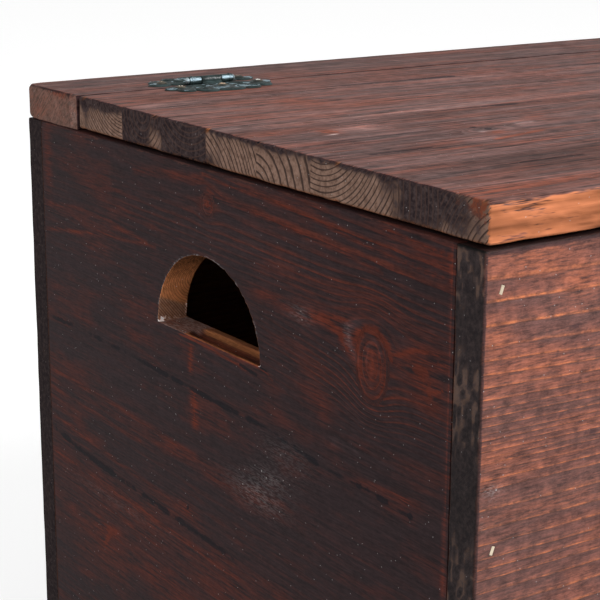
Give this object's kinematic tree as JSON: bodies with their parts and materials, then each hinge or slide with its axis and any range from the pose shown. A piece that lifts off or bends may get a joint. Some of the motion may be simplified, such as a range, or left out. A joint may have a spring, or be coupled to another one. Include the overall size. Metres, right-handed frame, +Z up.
{
  "type": "kindling box",
  "caption": "Lidded rectangular wooden box with half-moon hand holes in its ends, a fixed rear rail and a lid on ornamental surface hinges, for keeping kindling by a stove.",
  "frame": {"origin": "under the middle of the box, on the surface that it stands on", "axes": "+X along the length of the box, +Y from the front to the hinged back, +Z up"},
  "size_m": [0.6, 0.418, 0.4261],
  "materials": {
    "front_stain": "satin red-brown stain on softwood",
    "carcass_stain": "satin dark red-brown stain on softwood",
    "lid_stain": "satin red-brown stain on softwood",
    "bare_wood": "bare softwood",
    "hinge_iron": "blackened green-grey with worn high spots",
    "pin_steel": "worn bright steel",
    "screw_brass": "dull pale brass",
    "brad_steel": "dull steel"
  },
  "bodies": {
    "carcass": {"front_board_1": "front_stain", "front_board_2": "front_stain", "front_board_3": "front_stain", "front_board_4": "front_stain", "back_board_1": "carcass_stain", "back_board_2": "carcass_stain", "back_board_3": "carcass_stain", "left_board_1": "carcass_stain", "left_board_2": "carcass_stain", "left_board_3": "carcass_stain", "left_board_4": "carcass_stain", "right_board_1": "carcass_stain", "right_board_2": "carcass_stain", "right_board_3": "carcass_stain", "front_left_brad_1": "brad_steel", "front_left_brad_2": "brad_steel", "front_left_brad_3": "brad_steel", "front_left_brad_4": "brad_steel", "front_right_brad_1": "brad_steel", "front_right_brad_2": "brad_steel", "front_right_brad_3": "brad_steel", "front_right_brad_4": "brad_steel", "back_left_brad_1": "brad_steel", "back_left_brad_2": "brad_steel", "back_left_brad_3": "brad_steel", "back_left_brad_4": "brad_steel", "back_right_brad_1": "brad_steel", "back_right_brad_2": "brad_steel", "back_right_brad_3": "brad_steel", "back_right_brad_4": "brad_steel", "left_cleat": "bare_wood", "right_cleat": "bare_wood", "floor_panel": "bare_wood", "rear_rail": "lid_stain", "left_hinge_rail_leaf": "hinge_iron", "right_hinge_rail_leaf": "hinge_iron", "left_hinge_pin": "pin_steel", "right_hinge_pin": "pin_steel", "left_hinge_rail_screw_1": "screw_brass", "left_hinge_rail_screw_2": "screw_brass", "left_hinge_rail_screw_3": "screw_brass", "right_hinge_rail_screw_1": "screw_brass", "right_hinge_rail_screw_2": "screw_brass", "right_hinge_rail_screw_3": "screw_brass"},
    "lid": {"lid_stave_1": "lid_stain", "lid_stave_2": "lid_stain", "lid_stave_3": "lid_stain", "lid_stave_4": "lid_stain", "lid_stave_5": "lid_stain", "lid_stave_6": "lid_stain", "lid_stave_7": "lid_stain", "lid_stave_8": "lid_stain", "left_hinge_lid_leaf": "hinge_iron", "right_hinge_lid_leaf": "hinge_iron", "left_hinge_lid_screw_1": "screw_brass", "left_hinge_lid_screw_2": "screw_brass", "left_hinge_lid_screw_3": "screw_brass", "right_hinge_lid_screw_1": "screw_brass", "right_hinge_lid_screw_2": "screw_brass", "right_hinge_lid_screw_3": "screw_brass"}
  },
  "joints": [
    {"name": "lid_hinge", "type": "hinge", "parent": "carcass", "child": "lid", "pos_m": [0, 0.14685, 0.42335], "axis": [-1, 0, 0], "range_deg": [0, 180]}
  ]
}
